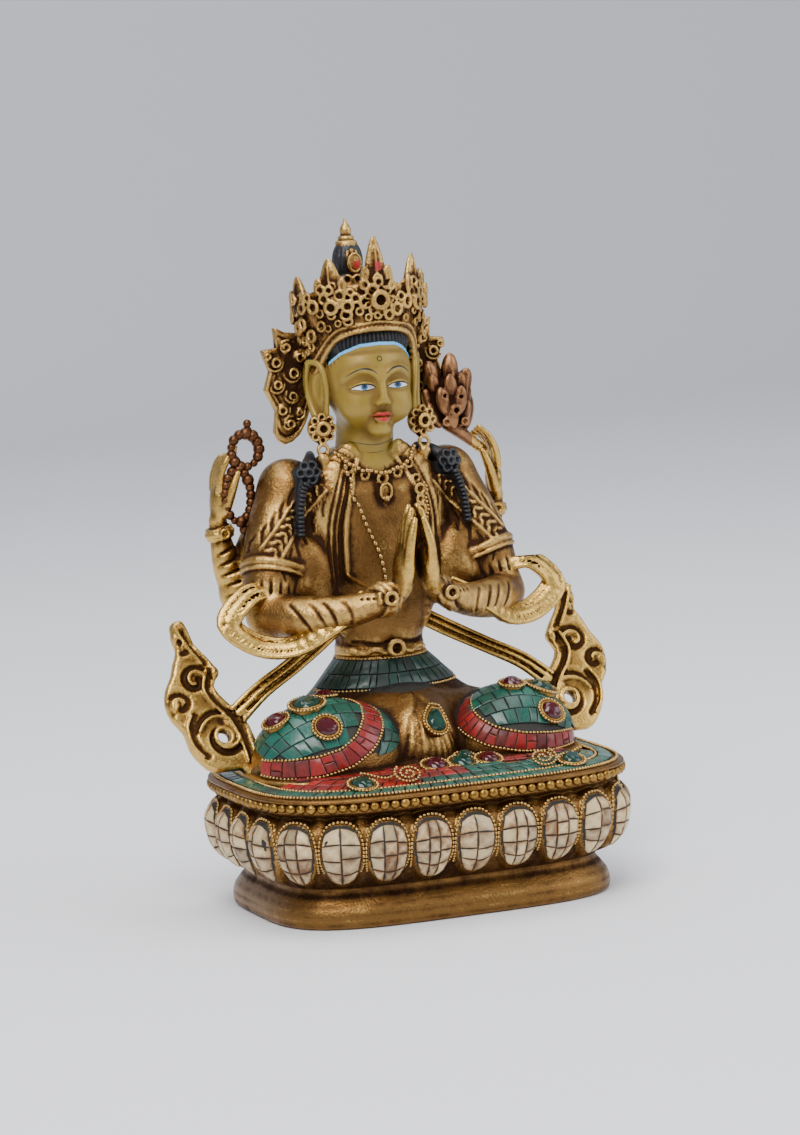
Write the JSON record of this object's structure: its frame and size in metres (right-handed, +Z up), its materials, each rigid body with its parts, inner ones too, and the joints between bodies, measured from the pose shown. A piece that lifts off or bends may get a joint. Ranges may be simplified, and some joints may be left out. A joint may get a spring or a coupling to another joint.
{
  "type": "seated bodhisattva statue",
  "caption": "Four-armed seated bodhisattva of cast brass on an oval lotus seat, with stone and bone inlay, for a shelf or household shrine.",
  "frame": {"origin": "middle of the seat's flat underside", "axes": "+Z up, the figure faces -Y, +X towards the figure's left hand"},
  "size_m": [0.1552, 0.1042, 0.2174],
  "materials": {
    "figure_brass": "antique gold with dark brown patina in the hollows",
    "seat_brass": "antique gold with dark brown patina in the hollows",
    "wire": "bright, worn on its crests",
    "bone": "polished bone tiles with dark joints and brown stains",
    "turquoise": "polished mosaic with dark joints",
    "coral": "polished mosaic with dark joints",
    "garnet": "cut red stones",
    "emerald": "cut dark green stones"
  },
  "bodies": {
    "root": {"bone_petal_01": "bone", "bone_petal_02": "bone", "bone_petal_03": "bone", "bone_petal_04": "bone", "bone_petal_05": "bone", "bone_petal_06": "bone", "bone_petal_07": "bone", "bone_petal_08": "bone", "bone_petal_09": "bone", "bone_petal_10": "bone", "bone_petal_11": "bone", "bone_petal_12": "bone", "bone_petal_13": "bone", "bone_petal_14": "bone", "bone_petal_15": "bone", "bone_petal_16": "bone", "bone_petal_17": "bone", "bone_petal_18": "bone", "bone_petal_19": "bone", "bone_petal_20": "bone", "bone_petal_21": "bone", "bone_petal_22": "bone", "bone_petal_23": "bone", "bone_petal_24": "bone", "bone_petal_25": "bone", "bone_petal_26": "bone", "coral_hem_left": "coral", "coral_hem_right": "coral", "curl_wire_left": "wire", "curl_wire_right": "wire", "emerald_centre": "emerald", "emerald_drop": "emerald", "emerald_front_left": "emerald", "emerald_front_right": "emerald", "emerald_small": "emerald", "emerald_top_left_knee": "emerald", "emerald_top_right_knee": "emerald", "figure": "figure_brass", "garnet_centre": "garnet", "garnet_front_left_knee": "garnet", "garnet_front_right_knee": "garnet", "garnet_inner": "garnet", "garnet_outer_right_knee": "garnet", "garnet_top_left_knee": "garnet", "garnet_top_right_knee": "garnet", "lotus_seat": "seat_brass", "rim_wire": "wire", "turquoise_field": "turquoise", "turquoise_knee_left": "turquoise", "turquoise_knee_right": "turquoise", "turquoise_waistband": "turquoise"}
  },
  "joints": []
}
